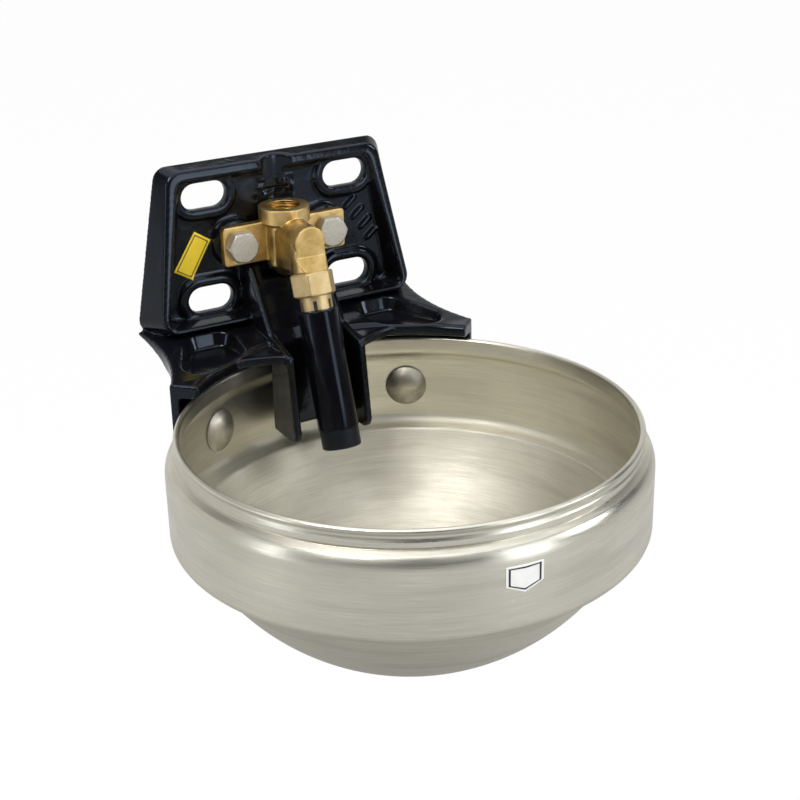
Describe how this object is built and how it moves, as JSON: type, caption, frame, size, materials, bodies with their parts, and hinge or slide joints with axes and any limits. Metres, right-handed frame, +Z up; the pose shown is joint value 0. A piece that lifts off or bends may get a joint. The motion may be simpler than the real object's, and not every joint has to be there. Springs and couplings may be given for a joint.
{
  "type": "livestock drinking bowl",
  "caption": "Wall-hung round drinking bowl for livestock: deep-drawn steel bowl on an enamelled cast back plate with a brass valve worked by a hanging push tube.",
  "frame": {"origin": "centre of the pattern of wall slots, on the wall plane", "axes": "+X to the right for someone who faces the wall, +Y into the wall, +Z up"},
  "size_m": [0.259, 0.2895, 0.2463],
  "materials": {
    "enamel": "glossy near-black vitreous enamel over grey iron",
    "stainless_sheet": "satin, drawn and circularly brushed stainless sheet",
    "stainless_bolt": "bright stainless fasteners",
    "stainless_turned": "turned stainless",
    "galvanised_steel": "dull speckled zinc",
    "cast_brass": "satin cast brass, machined faces brighter",
    "turned_brass": "turned brass",
    "tube_plastic": "gloss black",
    "black_rubber": "matt black rubber"
  },
  "bodies": {
    "frame": {"back_plate": "enamel", "bowl": "stainless_sheet", "bowl_bolts": "stainless_bolt", "bowl_seals": "black_rubber", "bowl_washers": "stainless_bolt", "bowl_nuts": "stainless_bolt", "valve_body": "cast_brass", "valve_bolts": "galvanised_steel", "union_nut": "turned_brass", "nut_seal": "black_rubber", "valve_seat": "turned_brass", "seat_seal": "black_rubber", "spring_retainer": "turned_brass", "inlet_strainer": "stainless_bolt"},
    "rocker": {"rocker_ring": "turned_brass"},
    "tube": {"tube_sleeve": "stainless_turned", "tube_ferrule": "turned_brass", "drinking_tube": "tube_plastic", "tube_bumper": "black_rubber"},
    "stem": {"valve_stem": "stainless_turned", "stem_disc": "black_rubber", "closing_spring": "stainless_turned"}
  },
  "joints": [
    {"name": "tube_side", "type": "hinge", "parent": "frame", "child": "rocker", "pos_m": [0, -0.05276, -0.01946], "axis": [0, 0.9537, -0.3007], "range_deg": [-4.5, 4.5], "stiffness_Nm_per_rad": 0.15},
    {"name": "tube_push", "type": "hinge", "parent": "rocker", "child": "tube", "pos_m": [0, -0.05966, -0.01577], "axis": [1, 0, 0], "range_deg": [0, 6], "stiffness_Nm_per_rad": 0.15, "springref_deg": -28.65},
    {"name": "stem_lift", "type": "slide", "parent": "frame", "child": "stem", "axis": [0, 0.3007, 0.9537], "range_m": [0, 0.0009], "deforming": ["closing_spring"]}
  ],
  "couplings": [
    {"joint": "stem_lift", "follows": "tube_push", "m_per_rad": 0.0077}
  ]
}
